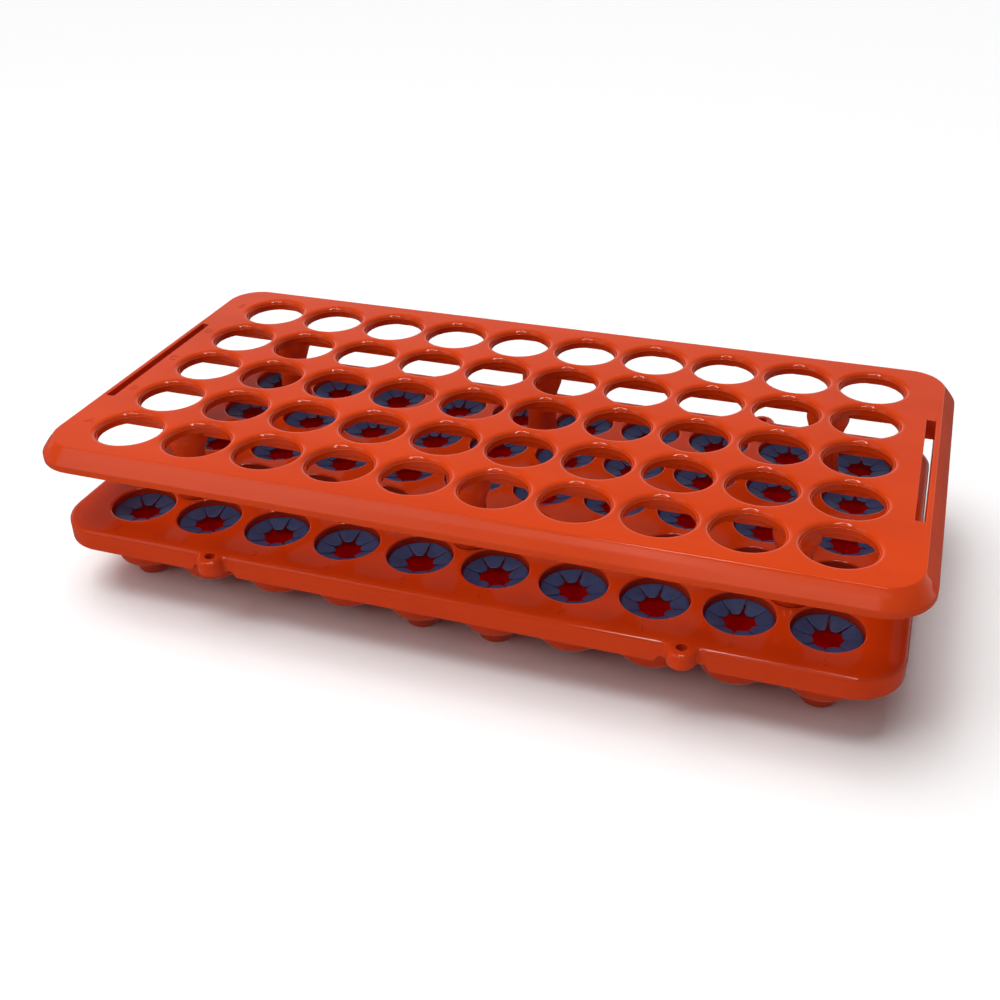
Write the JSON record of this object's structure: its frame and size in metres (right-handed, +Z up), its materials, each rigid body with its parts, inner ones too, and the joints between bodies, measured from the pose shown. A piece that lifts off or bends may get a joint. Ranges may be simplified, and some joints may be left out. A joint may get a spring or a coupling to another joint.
{
  "type": "test tube rack",
  "caption": "Low two-tier test tube rack: a perforated top plate on tapered posts over a tray of cups lined with soft star-shaped grippers.",
  "frame": {"origin": "centre of the bounding box's underside: on the plane of the feet, midway along both sides", "axes": "+X along the long side (columns 1 to 10), +Y from row a to row e, +Z up out of the wells"},
  "size_m": [0.2228, 0.1204, 0.0428],
  "materials": {
    "orange_plate": "semi-gloss moulded, orange-red",
    "orange_tray": "semi-gloss moulded, orange-red",
    "blue_elastomer": "satin moulded elastomer, slate blue"
  },
  "bodies": {
    "tray": {"tray": "orange_tray", "gripper_a1": "blue_elastomer", "gripper_a2": "blue_elastomer", "gripper_a3": "blue_elastomer", "gripper_a4": "blue_elastomer", "gripper_a5": "blue_elastomer", "gripper_a6": "blue_elastomer", "gripper_a7": "blue_elastomer", "gripper_a8": "blue_elastomer", "gripper_a9": "blue_elastomer", "gripper_a10": "blue_elastomer", "gripper_b1": "blue_elastomer", "gripper_b2": "blue_elastomer", "gripper_b3": "blue_elastomer", "gripper_b4": "blue_elastomer", "gripper_b5": "blue_elastomer", "gripper_b6": "blue_elastomer", "gripper_b7": "blue_elastomer", "gripper_b8": "blue_elastomer", "gripper_b9": "blue_elastomer", "gripper_b10": "blue_elastomer", "gripper_c1": "blue_elastomer", "gripper_c2": "blue_elastomer", "gripper_c3": "blue_elastomer", "gripper_c4": "blue_elastomer", "gripper_c5": "blue_elastomer", "gripper_c6": "blue_elastomer", "gripper_c7": "blue_elastomer", "gripper_c8": "blue_elastomer", "gripper_c9": "blue_elastomer", "gripper_c10": "blue_elastomer", "gripper_d1": "blue_elastomer", "gripper_d2": "blue_elastomer", "gripper_d3": "blue_elastomer", "gripper_d4": "blue_elastomer", "gripper_d5": "blue_elastomer", "gripper_d6": "blue_elastomer", "gripper_d7": "blue_elastomer", "gripper_d8": "blue_elastomer", "gripper_d9": "blue_elastomer", "gripper_d10": "blue_elastomer", "gripper_e1": "blue_elastomer", "gripper_e2": "blue_elastomer", "gripper_e3": "blue_elastomer", "gripper_e4": "blue_elastomer", "gripper_e5": "blue_elastomer", "gripper_e6": "blue_elastomer", "gripper_e7": "blue_elastomer", "gripper_e8": "blue_elastomer", "gripper_e9": "blue_elastomer", "gripper_e10": "blue_elastomer"},
    "top_plate": {"top_plate": "orange_plate"}
  },
  "joints": [
    {"name": "top_plate_lift", "type": "slide", "parent": "tray", "child": "top_plate", "axis": [0, 0, 1], "range_m": [0, 0.03]}
  ]
}
